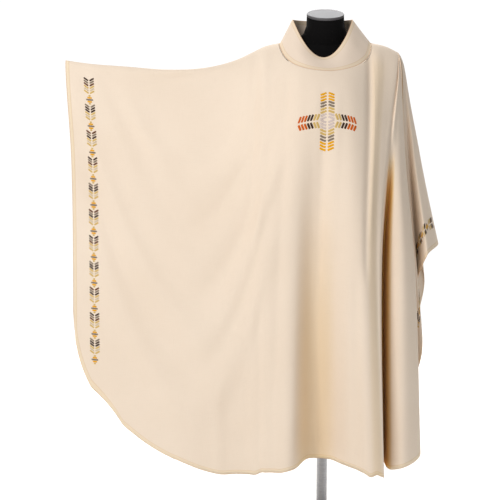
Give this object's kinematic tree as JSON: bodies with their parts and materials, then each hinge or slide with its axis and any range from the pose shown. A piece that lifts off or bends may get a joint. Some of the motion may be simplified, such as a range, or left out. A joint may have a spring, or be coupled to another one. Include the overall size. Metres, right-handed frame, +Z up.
{
  "type": "chasuble on a limbless dress form",
  "caption": "Wide draped cloth vestment with a funnel collar, open neck, sides and hem, resting on a limbless dress form with a neck cap, pole and round base.",
  "frame": {"origin": "centre of the underside of the stand's base, on the floor", "axes": "+Z up, +X towards the wearer's left, the front faces -Y"},
  "size_m": [1.1129, 0.49, 1.5846],
  "materials": {
    "cloth_front": "fine matte ivory cloth with a slight sheen",
    "cloth_back": "fine matte ivory cloth with a slight sheen",
    "cloth_collar": "fine matte ivory cloth, folded double",
    "form_cover": "black stretch jersey",
    "cap_grey": "satin grey",
    "pole_steel": "brushed",
    "base_black": "satin black"
  },
  "bodies": {
    "root": {"front_panel": "cloth_front", "back_panel": "cloth_back", "collar": "cloth_collar", "form_body": "form_cover", "neck_cap": "cap_grey", "stand_pole": "pole_steel", "stand_base": "base_black"}
  },
  "joints": []
}
